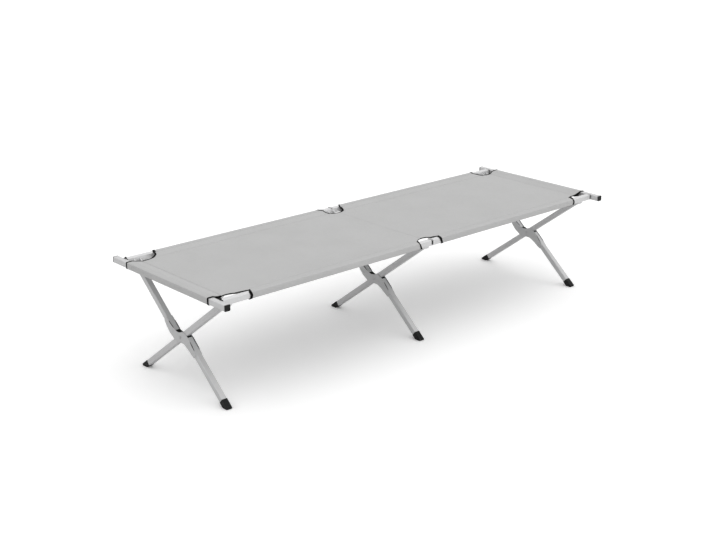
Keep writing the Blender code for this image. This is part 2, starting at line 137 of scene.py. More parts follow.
SLEEVE_SKEW = {
    "near_left_end": (0.0034, -0.0100, -0.0047, -0.0095),
    "near_right_end": (0.0040, -0.0120, -0.0060, -0.0100),
    "far_left_end": (-0.0090, 0.0020, 0.0, 0.0),
    "far_right_end": (-0.0050, 0.0040, 0.0, 0.0),
    "near_left_mid": (0.0, -0.0130, -0.0060, 0.0),
    "near_right_mid": (-0.0060, -0.0150, -0.0090, -0.0030),
    "far_left_mid": (0.0070, -0.0040, 0.0, 0.0),
    "far_right_mid": (-0.0150, 0.0030, 0.0, 0.0),
}
SKEW_RUN = 0.026

# Binding tape, with its widths at each sleeve's middle and outer end

TAPE_WIDE = 0.0055
TAPE_NARROW = 0.0045
TAPE_ENDS = {
    "near_left": (0.0080, 0.0074),
    "near_right": (0.0062, 0.0110),
    "far_left": (0.0080, 0.0080),
    "far_right": (0.0040, 0.0080),
}
TAPE_THICK = 0.0008
# Painted shade: how far the tape's lower fold hangs down near a pocket's end, a black flap that fills
# the shaded mouth between the cloth's layers
TAPE_SHADE_FLAP = 0.0065
TAPE_RUN = 0.045
# how far from the pocket's end that hanging black flap of painted shade reaches
SHADE_FLAP_RUN = 0.048
MID_TAPE_SHARE = {"near": 0.2, "far": 0.8}
PANEL_MIDDLE = 0.45

# Bumpers at the mid joint

COLLAR_WIDE = 0.0042
COLLAR_PROUD = 0.0004
COLLAR_TOPS = {"near": 0.0065, "far": 0.0027}
COLLAR_DOWN = 0.0060

# Plugs, plates and painted shade lines at the crossings. The points of the plates and of the painted
# shade lines are (t, n).

PLUG_LIPS = {1: 0.0170, -1: 0.0048}
PLUG_PROUD = 0.0003
PLATE_TOPS = {
    "left": (
        (0.098, -0.0118),
        (0.078, -0.0105),
        (0.062, -0.0090),
        (0.047, -0.0068),
        (0.0324, -0.0035),
        (0.0226, 0.0010),
        (0.0131, 0.0115),
        (0.0072, 0.0250),
        (0.0006, 0.0345),
        (-0.0084, 0.0372),
        (-0.0205, 0.0394),
        (-0.045, 0.0405),
        (-0.062, 0.0382),
        (-0.078, 0.0362),
        (-0.098, 0.0325),
    ),
    "right": (
        (0.098, -0.0125),
        (0.036, -0.0125),
        (0.030, -0.0085),
        (0.020, -0.0035),
        (0.008, 0.012),
        (0.0, 0.026),
        (-0.012, 0.0335),
        (-0.098, 0.0325),
    ),
}
PLATE_LOW = (
    (-0.098, 0.011),
    (-0.078, 0.008),
    (-0.051, 0.005),
    (-0.029, -0.001),
    (-0.012, -0.014),
    (-0.002, -0.032),
    (0.017, -0.037),
    (0.048, -0.042),
    (0.075, -0.039),
    (0.098, -0.033),
)
PLATE_EDGE = 0.0003

# A rivet's head has rings, each with its rise over the plate and its radius

RIVET_PLACES = (-0.080, -0.042, 0.042, 0.080)
RIVET_RINGS = ((-0.0002, 0.0040), (0.0007, 0.0038), (0.0011, 0.0030), (0.0012, 0.0015))
RIVET_SIDES = 16

# Painted shade where the plates meet the tube: black lines along the plates' top edges, each with its x
# and both ends, and the outline of a black patch in the gap between plate and tube

SHADE_LINE_X = 0.0125
SHADE_LINES = (
    (SHADE_LINE_X, (0.078, -0.0122), (0.030, -0.0118)),
    (SHADE_LINE_X, (-0.016, 0.0342), (-0.080, 0.0336)),
    (-SHADE_LINE_X, (0.082, -0.0112), (0.044, -0.0066)),
    (-SHADE_LINE_X, (-0.043, 0.0402), (-0.082, 0.0356)),
)
SHADE_LINE_ROUND = (
    (-0.0013, -0.0005),
    (-0.0011, 0.0007),
    (0.0, 0.0011),
    (0.0011, 0.0007),
    (0.0013, -0.0005),
)
SHADE_PATCH = ((0.037, -0.0125), (0.031, -0.0078), (0.020, -0.0026), (0.012, 0.004), (0.012, -0.0125))
SHADE_PATCH_X = (0.01105, 0.01125)

# Light and camera

FLOOR_COLOUR = 0.75
FLOOR_SEEN = 1.17
FLOOR_REACH = 14.0
FLOOR_DROP = 0.0002
WORLD_LIGHT = 0.66
LIGHT_LEAN = (0.12, -0.33, 0.54)
SENSOR_WIDTH = 36.0
FOCAL_PIXELS = 1232.35
PICTURE_WIDTH = 716
CAMERA_PLACE = (-3.1889, -3.4204, 1.8327)
CAMERA_DOWN = radians(18.9714)
CAMERA_TURN = radians(42.1007)


# Shader helpers


class Shader:
    """The node tree of a material or a world, written as short calls."""

    def __init__(self, owner):
        owner.use_nodes = True
        self.owner = owner
        self.nodes = owner.node_tree.nodes
        self.links = owner.node_tree.links

    def node(self, kind, inputs=(), **settings):
        made = self.nodes.new(kind)
        for key, value in settings.items():
            setattr(made, key, value)
        for key, value in dict(inputs).items():
            self.put(made.inputs[key], value)
        return made

    def put(self, socket, value):
        if isinstance(value, bpy.types.NodeSocket):
            self.links.new(value, socket)
        else:
            socket.default_value = value

    def math(self, operation, a, b=0.0, c=0.0):
        return self.node("ShaderNodeMath", {0: a, 1: b, 2: c}, operation=operation).outputs[0]

    def mix(self, factor, a, b):
        made = self.node("ShaderNodeMix", data_type="RGBA")
        self.put(made.inputs["Factor"], factor)
        self.put(made.inputs[6], a)
        self.put(made.inputs[7], b)
        return made.outputs[2]

    def spread(self, value, low, high, to_low, to_high):
        inputs = {"Value": value, "From Min": low, "From Max": high, "To Min": to_low, "To Max": to_high}
        return self.node("ShaderNodeMapRange", inputs).outputs[0]

    def noise(self, scale, detail=3.0, stretch=(1, 1, 1), rough=0.5):
        where = self.node("ShaderNodeTexCoord").outputs["Object"]
        placed = self.node("ShaderNodeMapping", {"Vector": where, "Scale": stretch}).outputs[0]
        inputs = {"Vector": placed, "Scale": scale, "Detail": detail, "Roughness": rough}
        return self.node("ShaderNodeTexNoise", inputs).outputs["Fac"]

    def bump(self, height, distance, strength=1.0, under=None):
        inputs = {"Height": height, "Distance": distance, "Strength": strength}
        if under is not None:
            inputs["Normal"] = under
        return self.node("ShaderNodeBump", inputs).outputs[0]

    def finish(self, **inputs):
        for key, value in inputs.items():
            self.put(self.nodes["Principled BSDF"].inputs[key.replace("_", " ")], value)
        return self.owner


def grey(value, tint=(0.0, 0.0, 0.0)):
    return (value + tint[0], value + tint[1], value + tint[2], 1.0)


def aluminium(name, value, rough, along, wear=0.06, metallic=0.35):
    """Satin metal drawn along axis 0 or 1, with fine streaks and faint blotches."""
    s = Shader(bpy.data.materials.new(name))
    stretch = [1.0, 1.0, 1.0]
    stretch[along] = 0.02
    streaks = s.noise(420.0, 3.0, stretch)
    blotch = s.noise(14.0, 4.0)
    fine = s.noise(900.0, 2.0)
    streak_tone = s.spread(streaks, 0.3, 0.7, -wear / 2, wear / 2)
    blotch_tone = s.spread(blotch, 0.3, 0.7, -wear, wear)
    tone = s.math("ADD", streak_tone, blotch_tone)
    cool = (0.0, 0.0, 0.004)
    colour = s.mix(s.math("ADD", tone, 0.5), grey(value - wear, cool), grey(value + wear, cool))
    streak_rough = s.spread(streaks, 0.3, 0.7, rough - 0.05, rough + 0.05)
    roughness = s.math("ADD", streak_rough, s.spread(blotch, 0.3, 0.7, -0.04, 0.05))
    normal = s.bump(streaks, 0.00003, 0.35, s.bump(fine, 0.00002, 0.3))
    return s.finish(Base_Color=colour, Metallic=metallic, Roughness=roughness, Normal=normal)


def fabric(name, value, pitch=0.0011):
    """A plain weave in two slightly different yarns, with slubs, a soft mottle and painted shade in the
    weave's hollows.
    """
    s = Shader(bpy.data.materials.new(name))
    where = s.node("ShaderNodeTexCoord").outputs["Object"]
    axes = s.node("ShaderNodeSeparateXYZ", {0: where}).outputs
    wobble = s.spread(s.noise(60.0, 2.0), 0.0, 1.0, -0.0004, 0.0004)
    across = s.math("ADD", s.math("ADD", axes[1], axes[2]), wobble)
    along = s.math("ADD", axes[0], wobble)
    warp = s.math("SINE", s.math("MULTIPLY", across, pi / pitch))
    weft = s.math("SINE", s.math("MULTIPLY", along, pi / pitch))
    over = s.math("GREATER_THAN", s.math("MULTIPLY", warp, weft), 0.0)
    ridge_a = s.math("POWER", s.math("ABSOLUTE", warp), 0.5)
    ridge_b = s.math("POWER", s.math("ABSOLUTE", weft), 0.5)
    under = s.math("SUBTRACT", 1.0, over)
    height = s.math("ADD", s.math("MULTIPLY", over, ridge_a), s.math("MULTIPLY", under, ridge_b))
    slubs = s.noise(700.0, 2.0, (0.06, 1.0, 1.0))
    slubs_b = s.noise(700.0, 2.0, (1.0, 0.06, 0.06))
    mottle = s.noise(5.0, 5.0, (1, 1, 1), 0.6)
    tone = s.math("ADD", s.spread(slubs, 0.3, 0.7, -0.5, 0.5), s.spread(slubs_b, 0.3, 0.7, -0.5, 0.5))
    tone = s.math("ADD", s.math("MULTIPLY", tone, 0.35), s.spread(mottle, 0.3, 0.7, -0.25, 0.25))
    # painted shade: the weave's hollows darker, its crests lighter
    tone = s.math("ADD", tone, s.spread(height, 0.0, 1.0, -0.5, 0.35))
    dark, light = grey(value * 0.93, (0.0, 0.0, -0.003)), grey(value * 1.06, (0.0, 0.0, -0.001))
    colour = s.mix(s.math("ADD", tone, 0.5), dark, light)
    wrinkle = s.noise(9.0, 3.0, (1.0, 1.6, 1.0))
    normal = s.bump(height, 0.00012, 0.5, s.bump(wrinkle, 0.0006, 0.35))
    roughness = s.spread(height, 0.0, 1.0, 0.92, 0.8)
    s.finish(Sheen_Weight=0.15, Sheen_Roughness=0.5)
    return s.finish(Base_Color=colour, Roughness=roughness, Normal=normal)


def webbing(name, value, pitch=0.0009):
    """Black binding tape: a rib across its width, painted darker in its hollows and lighter on its
    crests (painted shade and highlight), varied at random by fuzz.
    """
    s = Shader(bpy.data.materials.new(name))
    where = s.node("ShaderNodeTexCoord").outputs["Object"]
    axes = s.node("ShaderNodeSeparateXYZ", {0: where}).outputs
    run = s.math("ADD", s.math("ADD", axes[0], axes[1]), axes[2])
    rib = s.math("ABSOLUTE", s.math("SINE", s.math("MULTIPLY", run, pi / pitch)))
    fuzz = s.noise(900.0, 3.0)
    # painted shade and highlight from the rib's height, dimmed at random by the fuzz
    rib_shade_and_fuzz = s.math("MULTIPLY", rib, s.spread(fuzz, 0.2, 0.8, 0.6, 1.0))
    colour = s.mix(rib_shade_and_fuzz, grey(value * 0.6), grey(value * 1.5))
    normal = s.bump(s.math("ADD", rib, fuzz), 0.0001, 0.6)
    return s.finish(Base_Color=colour, Roughness=0.85, Normal=normal, Specular_IOR_Level=0.1)


def moulded(name, value, rough, grain=900.0, depth=0.00004, wear=0.3):
    """Moulded plastic or rubber: fine grain, a faint bloom and duller patches."""
    s = Shader(bpy.data.materials.new(name))
    fine = s.noise(grain, 3.0)
    bloom = s.noise(30.0, 4.0)
    colour = s.mix(s.spread(bloom, 0.3, 0.75, 0.0, 1.0), grey(value), grey(value * (1 + wear) + 0.003))
    bloom_rough = s.spread(bloom, 0.3, 0.7, rough - 0.05, rough + 0.07)
    roughness = s.math("ADD", bloom_rough, s.spread(fine, 0.3, 0.7, -0.04, 0.04))
    normal = s.bump(fine, depth, 0.5)
    return s.finish(Base_Color=colour, Roughness=roughness, Normal=normal, Specular_IOR_Level=0.2)


# Painted light: the rails and the brackets are lighter copies of the bars' aluminium. The brackets are
# lightest, painted lighter over the shade that the cloth casts on them.
RAIL_METAL_PAINTED_LIGHT = aluminium("rail_metal", value=0.71, rough=0.42, along=0)
BAR_METAL = aluminium("bar_metal", value=0.62, rough=0.42, along=1)
LEG_METAL = aluminium("leg_metal", value=0.60, rough=0.44, along=1)
PLATE_METAL = aluminium("plate_metal", value=0.56, rough=0.46, along=1, wear=0.05)
PIN_METAL = aluminium("pin_metal", value=0.52, rough=0.33, along=0, wear=0.05, metallic=0.9)
BRACKET_METAL_PAINTED_LIGHT = aluminium("bracket_metal_painted_light", value=0.76, rough=0.42, along=0, wear=0.05)
CLOTH_GREY = fabric("cloth_grey", value=0.47)
TAPE_BLACK = webbing("tape_black", value=0.004)
THREAD = moulded("thread", value=0.33, rough=0.8, grain=2500.0, depth=0.00003)
BLACK_PLASTIC = moulded("black_plastic", value=0.008, rough=0.42)
GREY_PLASTIC = moulded("grey_plastic", value=0.50, rough=0.45, wear=0.08)
BLACK_RUBBER = moulded("black_rubber", value=0.007, rough=0.55, grain=600.0, depth=0.00008, wear=0.5)

NODE_LOOKS = {
    "_rail": RAIL_METAL_PAINTED_LIGHT,
    "_end_bar": BAR_METAL,
    "leg_": LEG_METAL,
    "plate_": PLATE_METAL,
    "bracket_": BRACKET_METAL_PAINTED_LIGHT,
    "_pin": PIN_METAL,
    "foot_": BLACK_RUBBER,
    "cap_": BLACK_PLASTIC,
    "_plug": BLACK_PLASTIC,
    "_block": GREY_PLASTIC,
    "sleeve": CLOTH_GREY,
    "panel": CLOTH_GREY,
}


def dress_nodes():
    """Every solid gets the first look whose key is in its name."""
    for name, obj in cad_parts.items():
        found = next(material for key, material in NODE_LOOKS.items() if key in name)
        obj.data.materials.clear()
        obj.data.materials.append(found)


# Mesh helpers


def new_mesh(name, points, faces, material, body, angle=35):
    """A piece that rides on a body, where one is given. Edges sharper than the angle stay sharp."""
    mesh = bpy.data.meshes.new(name)
    mesh.from_pydata([tuple(p) for p in points], [], faces)
    shape = bmesh.new()
    shape.from_mesh(mesh)
    bmesh.ops.remove_doubles(shape, verts=shape.verts, dist=1e-6)
    bmesh.ops.recalc_face_normals(shape, faces=shape.faces)
    shape.to_mesh(mesh)
    shape.free()
    mesh.materials.append(material)
    mesh.shade_smooth()
    mesh.set_sharp_from_angle(angle=radians(angle))
    obj = bpy.data.objects.new(name, mesh)
    bpy.context.scene.collection.objects.link(obj)
    if body:
        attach(obj, body)
    return obj


def joined(name, meshes, material, body):
    """One object from several (points, faces)."""
    points, faces = [], []
    for some, more in meshes:
        start = len(points)
        points += some
        faces += [tuple(i + start for i in face) for face in more]
    return new_mesh(name, points, faces, material, body)


def swept(rings):
    """Points and faces of a skin through closed rings of as many points, with both ends capped."""
    size = len(rings[0])
    points = [p for ring in rings for p in ring]
    faces = []
    for a in range(0, len(points) - size, size):
        for j in range(size):
            k = (j + 1) % size
            faces.append((a + j, a + k, a + size + k, a + size + j))
    faces.append(tuple(range(size)))
    faces.append(tuple(range(len(points) - size, len(points))))
    return points, faces


def closed_sheet(top, low):
    """A thin sheet between two grids of points, closed round its rim."""
    rows, columns = len(top), len(top[0])
    points = [p for row in top for p in row] + [p for row in low for p in row]
    base = rows * columns
    faces = []

    def at(r, c):
        return r * columns + c

    for r in range(rows - 1):
        for c in range(columns - 1):
            quad = (at(r, c), at(r, c + 1), at(r + 1, c + 1), at(r + 1, c))
            faces.append(quad)
            faces.append(tuple(base + i for i in reversed(quad)))
    rim = [at(0, c) for c in range(columns)]
    rim += [at(r, columns - 1) for r in range(1, rows)]
    rim += [at(rows - 1, c) for c in range(columns - 2, -1, -1)]
    rim += [at(r, 0) for r in range(rows - 2, 0, -1)]
    for i, a in enumerate(rim):
        b = rim[(i + 1) % len(rim)]
        faces.append((a, b, base + b, base + a))
    return points, faces


def thicken(obj, thickness):
    """Gives a sheet its thickness, below the surface that it has."""
    modifier = obj.modifiers.new("cloth", "SOLIDIFY")
    modifier.thickness = thickness
    modifier.offset = -1.0
    modifier.use_even_offset = True
    graph = bpy.context.evaluated_depsgraph_get()
    mesh = bpy.data.meshes.new_from_object(obj.evaluated_get(graph))
    obj.modifiers.clear()
    obj.data = mesh


# Line helpers


def clamped(value):
    """The value, kept between 0 and 1."""
    return min(1.0, max(0.0, value))


def spaced(a, b, step):
    """Points from a towards b, without b."""
    count = max(1, round((Vector(b) - Vector(a)).length / step))
    return [tuple(Vector(a).lerp(Vector(b), i / count)) for i in range(count)]


def ladder(values, step):
    """Values from the first to the last, at each of them and evenly about a step apart in between."""
    found = []
    for a, b in zip(values, values[1:]):
        count = max(1, round(abs(b - a) / step))
        found += [a + (b - a) * i / count for i in range(count)]
    return found + [values[-1]]


def quarter(centre, radius, start, steps):
    """A quarter turn about a centre, anticlockwise from an angle."""
    turns = [start + pi / 2 * i / steps for i in range(steps + 1)]
    return [(centre[0] + radius * cos(a), centre[1] + radius * sin(a)) for a in turns]


def run_at(line, i):
    """The direction of an open line at one of its points."""
    return (Vector(line[min(len(line) - 1, i + 1)]) - Vector(line[max(0, i - 1)])).normalized()


def inward(line):
    """Unit normals that point into a closed line which turns anticlockwise."""
    normals = []
    for i in range(len(line)):
        run = (Vector(line[(i + 1) % len(line)]) - Vector(line[i - 1])).normalized()
        normals.append((-run.y, run.x))
    return normals


def smooth_line(points):
    """The line with its corners cut twice, between the same ends."""
    for _ in range(2):
        soft = [points[0]]
        for a, b in zip(points, points[1:]):
            a, b = Vector(a), Vector(b)
            soft += [tuple(a.lerp(b, 0.25)), tuple(a.lerp(b, 0.75))]
        points = soft + [points[-1]]
    return points


def closed_soft(corners, step):
    """A closed line through corners, with each corner cut a little."""
    line = [p for a, b in zip(corners, corners[1:] + corners[:1]) for p in spaced(a, b, step)]
    soft = []
    for a, b in zip(line, line[1:] + line[:1]):
        soft += [tuple(Vector(a).lerp(Vector(b), part)) for part in (0.25, 0.75)]
    return soft


def flat_length(path):
    """The length of a path laid flat."""
    return sum((Vector(b) - Vector(a)).length for a, b in zip(path, path[1:]))


def outline_area(line):
    """The flat area inside a closed line."""
    return abs(sum(a[0] * b[1] - b[0] * a[1] for a, b in zip(line, line[1:] + line[:1]))) / 2


# Shape of the lying surface


def fall(u, seam):
    """The cloth's top over a tube's centre line, at u inboard of it. It lies flat from the seam on."""
    if u >= seam:
        return LYING
    if u <= SLEEVE_IN:
        return SLEEVE_OUT
    part = (seam - u) / (seam - SLEEVE_IN)
    return LYING + (SLEEVE_OUT - LYING) * (0.86 * part + 0.14 * part * part)


def groove(u, seam):
    """The dip that a line of stitches pulls into the cloth."""
    gap = abs(u - seam - STITCH_LINE)
    return GROOVE_DEEP * max(0.0, 1.0 - gap / GROOVE_HALF) ** 2


def lying_z(x, y):
    """The height of the lying surface's top, with its seams' grooves, its sag and soft waves."""
    side_u = RAIL_Y - abs(y)
    end_u = BAR_X - abs(x)
    high = max(fall(side_u, SIDE_SEAM), fall(end_u, END_SEAM))
    half = "left" if x < 0 else "right"
    dip = 0.0
    if abs(y - POCKET_Y[half]) < POCKET_HALF:
        dip = groove(end_u, END_SEAM) * END_GROOVE[half]
    if abs(x) < GROOVE_STOP:
        dip = max(dip, groove(side_u, SIDE_SEAM))
    wide_waves = noise.noise(Vector((x * 5.0, y * 6.0, 3.0))) * WIDE_WAVE
    fine_waves = noise.noise(Vector((x * 14.0, y * 17.0, 9.0))) * FINE_WAVE
    middle = clamped((side_u - SIDE_SEAM) / SAG_RUN) * clamped((end_u - END_SEAM) / SAG_RUN)
    return RAIL_Z + high - dip - SAG * middle + (wide_waves + fine_waves) * middle


def skew_of(way, out, where):
    """The slant of a sleeve's end, where is mid or end."""
    side = "near" if out < 0 else "far"
    half = "left" if way < 0 else "right"
    return SLEEVE_SKEW[f"{side}_{half}_{where}"]


def corner_span(way):
    """Where a corner cut-out starts, at the sleeve's end, and how long it is."""
    edge = abs(FABRIC_X + way * SLEEVE_END)
    return edge, CORNER_CUT_END - edge


def corner_cut(way, out):
    """A corner cut-out, from the sleeve to the pocket, as parts of its length against u."""
    half = "left" if way < 0 else "right"
    return CORNER_CUT + ((1.0, RAIL_Y - out * POCKET_Y[half] - POCKET_HALF),)


def cut_u(part, cut):
    """How far inboard a corner cut-out reaches at a part of its length."""
    for (a, low), (b, high) in zip(cut, cut[1:]):
        if part <= b:
            return low + (high - low) * (part - a) / (b - a)
    return cut[-1][1]


def cut_part(u):
    """How far along a corner cut-out, from the sleeve, its edge first comes to u."""
    for (a, low), (b, high) in zip(CORNER_CUT, CORNER_CUT[1:]):
        if low <= u <= high:
            return a + (b - a) * (u - low) / (high - low)
    raise ValueError("the cut-out is not that deep")


def corner_line(way, out):
    """The edge of a corner cut-out, from the sleeve's end to the pocket's end."""
    edge, reach = corner_span(way)
    points = [(way * (edge + part * reach), out * (RAIL_Y - u)) for part, u in corner_cut(way, out)]
    points[0] = (points[0][0] + skew_of(way, out, "end")[0], out * (RAIL_Y - SLEEVE_IN))
    points.append((way * (BAR_X - SLEEVE_IN), points[-1][1]))
    return smooth_line(points)


def mid_line(way, out):
    """The edge of half a mid cut-out, from the middle to the sleeve's end."""
    points = []
    lip = skew_of(way, out, "mid")[0]
    flank = NEAR_LEFT_FLANK if way < 0 and out < 0 else 1.0
    steps = 24
    for i in range(steps + 1):
        a = pi / 2 - pi / 2 * i / steps
        x = FABRIC_X + way * MID_CUT * cos(a) + lip * (1 - sin(a))
        y = out * (RAIL_Y - SLEEVE_IN - MID_CUT_DEPTH * sin(a) ** flank)
        points.append((x, y))
    middle = (HINGE_X, points[0][1])
    return [middle] + [p for p in points if way * (p[0] - HINGE_X) > 0.001]


def panel_outline(way):
    """The top sheet seen from above: its edges at the rails, its cut-outs and the pocket's end."""
    edges = []
    for out in SIDES.values():
        middle, corner = mid_line(way, out), corner_line(way, out)
        edges.append(middle + spaced(middle[-1], corner[0], FINE_STEP)[1:] + corner)
    near, far = edges
    across = spaced(near[-1], far[-1], FINE_STEP)[1:]
    back = spaced(far[0], near[0], FINE_STEP)[1:]
    return near + across + far[::-1] + back


def inside(x, y, way):
    """Is a point well inside the panel's top sheet?"""
    margin = 0.0022
    u = RAIL_Y - abs(y)
    if u < SLEEVE_IN + margin or BAR_X - abs(x) < SLEEVE_IN + margin:
        return False
    if way * (x - HINGE_X) < margin:
        return False
    from_mid = abs(x - FABRIC_X)
    if from_mid < MID_CUT + margin:
        depth = (MID_CUT_DEPTH + margin) * sqrt(max(0.0, 1 - (from_mid / (MID_CUT + margin)) ** 2))
        if u < SLEEVE_IN + depth:
            return False
    edge, reach = corner_span(way)
    part = (abs(x) - edge) / reach
    cut = corner_cut(way, 1 if y > 0 else -1)
    return part <= -0.10 or u >= cut_u(clamped(part + 0.03), cut) + margin + 0.001


def make_panel(half):
    """The lying surface: a grid of points inside its outline, closer together at the seams."""
    way = HALVES[half]
    inner_x = [HINGE_X + way * 0.003, way * (BAR_X - END_SEAM - 0.006)]
    end_x = [way * (BAR_X - END_SEAM + d) for d in END_SEAM_ROWS]
    last_x = [end_x[-1], way * (BAR_X - HALF - 0.004)]
    xs = ladder(inner_x, FIELD_STEP) + end_x + ladder(last_x, EDGE_STEP)[1:]
    seam_ys = [RAIL_Y - SIDE_SEAM + d for d in SIDE_SEAM_ROWS]
    last_y = [seam_ys[-1], RAIL_Y - HALF - 0.003]
    half_ys = ladder([0.0, seam_ys[0]], FIELD_STEP)[:-1] + seam_ys + ladder(last_y, EDGE_STEP)[1:]
    ys = sorted({round(v, 6) for v in half_ys} | {round(-v, 6) for v in half_ys})
    coordinates = [Vector(p) for p in panel_outline(way)]
    count = len(coordinates)
    edges = [(i, (i + 1) % count) for i in range(count)]
    coordinates += [Vector((x, y)) for x in xs for y in ys if inside(x, y, way)]
    points, _, faces, *_ = delaunay_2d_cdt(coordinates, edges, [], 1, 1e-6)
    raised = [(p.x, p.y, lying_z(p.x, p.y)) for p in points]
    panel = new_mesh(f"{half}_lying_surface", raised, [tuple(f) for f in faces], CLOTH_GREY, None, 60)
    if panel.data.polygons[0].normal.z < 0:
        panel.data.flip_normals()
    thicken(panel, CLOTH)
    return panel


def make_margin(side, half):
    """The lower layer of a side margin, from under the rail up to the seam, as a closed thin sheet."""
    way, out = HALVES[half], SIDES[side]
    rows = 7
    columns = 60
    edge, reach = corner_span(way)
    start, end = SLEEVE_IN, SIDE_SEAM + 0.001
    top = []
    for r in range(rows):
        part = r / (rows - 1)
        u = start + (end - start) * part
        deep = clamped((u - start) / MID_CUT_DEPTH)
        x_mid = FABRIC_X + way * UNDER_CUT * sqrt(1 - deep * deep)
        x_end = way * (edge + reach * cut_part(u))
        w = -SLEEVE_IN + (LYING - CLOTH + SLEEVE_IN) * (part**1.06)
        xs = [x_mid + (x_end - x_mid) * c / columns for c in range(columns + 1)]
        top.append([(x, out * (RAIL_Y - u), RAIL_Z + w) for x in xs])
    low = [[(x, y, z - CLOTH) for x, y, z in row] for row in top]
    return new_mesh(f"{side}_{half}_margin_under", *closed_sheet(top, low), CLOTH_GREY, None)


# Sleeves and pockets


def loop_section(lip):
    """The cloth's path (u, w) round a tube, from the top lip over the outside to the bottom lip."""
    corner = TUBE_CORNER + FIT
    reach = SLEEVE_IN - corner
    path = [(lip, SLEEVE_IN), (0.0, SLEEVE_IN)]
    path += quarter((-reach, reach), corner, pi / 2, 8)
    path.append((-SLEEVE_IN, 0.0))
    path += quarter((-reach, -reach), corner, pi, 8)
    return path + [(0.0, -SLEEVE_IN), (lip, -SLEEVE_IN)]


def offset_path(path, distance):
    """The path moved outwards by a distance, away from the tube."""
    moved = []
    for i, (u, w) in enumerate(path):
        run = run_at(path, i)
        moved.append((u + run.y * distance, w - run.x * distance))
    return moved


def end_shift(skew, u, w, gap):
    """How far a slant moves a point of a sleeve along the rail. gap is its distance from the end."""
    lip, top, face, low = skew
    if w > 0.9 * SLEEVE_IN:
        part = clamped((HALF - u) / TUBE)
        shift = lip + (top - lip) * part
    elif u < -0.5 * SLEEVE_IN:
        part = min(1.0, abs(w) / SLEEVE_IN)
        shift = face + ((top if w > 0 else low) - face) * part * part
    else:
        shift = low
    return shift * max(0.0, 1.0 - gap / SKEW_RUN)


def make_sleeve(side, half):
    """The cloth round a rail half, slightly slack between its ends."""
    way, out = HALVES[half], SIDES[side]
    path = loop_section(HALF + FIT / 2)
    start, end = FABRIC_X + way * MID_CUT, FABRIC_X + way * SLEEVE_END
    skews = skew_of(way, out, "mid"), skew_of(way, out, "end")
    xs = ladder([start, start + way * SKEW_RUN, end - way * SKEW_RUN, end], ROUND_STEP)
    rings = []
    for x in xs:
        swell = SWELL_VARIES * noise.noise(Vector((x * 9.0, out * 2.0, 0.0))) + SWELL
        outer = offset_path(path, CLOTH + swell)
        inner = offset_path(path, 0.0001)
        section = outer + inner[::-1]
        ring = []
        for u, w in section:
            shift = end_shift(skews[0], u, w, abs(x - start))
            shift += end_shift(skews[1], u, w, abs(end - x))
            ring.append((x + shift, out * (RAIL_Y - u), RAIL_Z + w))
        rings.append(ring)
    points, faces = swept(rings)
    name = f"{side}_{half}_sleeve"
    sleeve = new_mesh(f"{name}_cloth", points, faces, CLOTH_GREY, f"{side}_{half}_rail", 60)
    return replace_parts(sleeve, name)


def make_pocket(half):
    """The loop of an end pocket round the bar, and its lower layer up to the end seam."""
    way = HALVES[half]
    path = loop_section(SLEEVE_IN)
    ys = ladder([POCKET_Y[half] - POCKET_HALF, POCKET_Y[half] + POCKET_HALF], ROUND_STEP)
    rings = []
    for y in ys:
        swell = SWELL + SWELL_VARIES * noise.noise(Vector((y * 9.0, way * 3.0, 5.0)))
        outer = offset_path(path, CLOTH + swell)
        inner = offset_path(path, 0.0001)
        end_outer, end_inner = (END_SEAM, LYING - CLOTH), (END_SEAM, LYING - 0.0002)
        section = outer + [end_outer, end_inner] + inner[::-1]
        rings.append([(way * (BAR_X - u), y, RAIL_Z + w) for u, w in section])
    return new_mesh(f"{half}_pocket_cloth", *swept(rings), CLOTH_GREY, None)


# Binding tape


def tape_along(line, widths, drops):
    """Tape folded over the cloth's edge along a line seen from above, with the cloth on its left."""
    thick = TAPE_THICK
    rings = []
    for i, (p, width, drop) in enumerate(zip(line, widths, drops)):
        run = run_at(line, i)
        into = Vector((-run.y, run.x))
        low = CLOTH + thick + drop
        profile = [(-thick, -CLOTH * 0.5), (-thick * 0.8, thick * 0.7), (0.0, thick)]
        profile += [(width * 0.5, thick), (width, thick * 0.9), (width, 0.0), (width, -CLOTH)]
        profile += [(width, 0.1 * thick - low), (width * 0.5, -low)]
        profile += [(0.0, -low), (-thick * 0.8, 0.3 * thick - low)]
        ring = []
        for off, up in profile:
            q = Vector(p) + into * off
            base = Vector(p) + into * max(off, 0.0)
            ring.append((q.x, q.y, lying_z(base.x, base.y) + up))
        rings.append(ring)
    return swept(rings)


def tape_round(path, place, width=TAPE_WIDE):
    """Tape round a sleeve's or a pocket's end. place turns (across, u, w) into a point."""
    thick = TAPE_THICK
    low, high = offset_path(path, -0.00005), offset_path(path, CLOTH + 0.0004 + thick)
    rings = []
    for (u0, w0), (u1, w1) in zip(low, high):
        mid_u, mid_w = (u0 + u1) / 2, (w0 + w1) / 2
        ring = [(-thick, mid_u, mid_w)]
        ring += [(-thick * 0.7, u1 * 0.97 + mid_u * 0.03, w1 * 0.97 + mid_w * 0.03)]
        ring += [(0.0, u1, w1), (width, u1, w1), (width + 0.0002, mid_u, mid_w)]
        ring += [(width, u0, w0), (0.0, u0, w0)]
        rings.append([place(*p) for p in ring])
    return swept(rings)


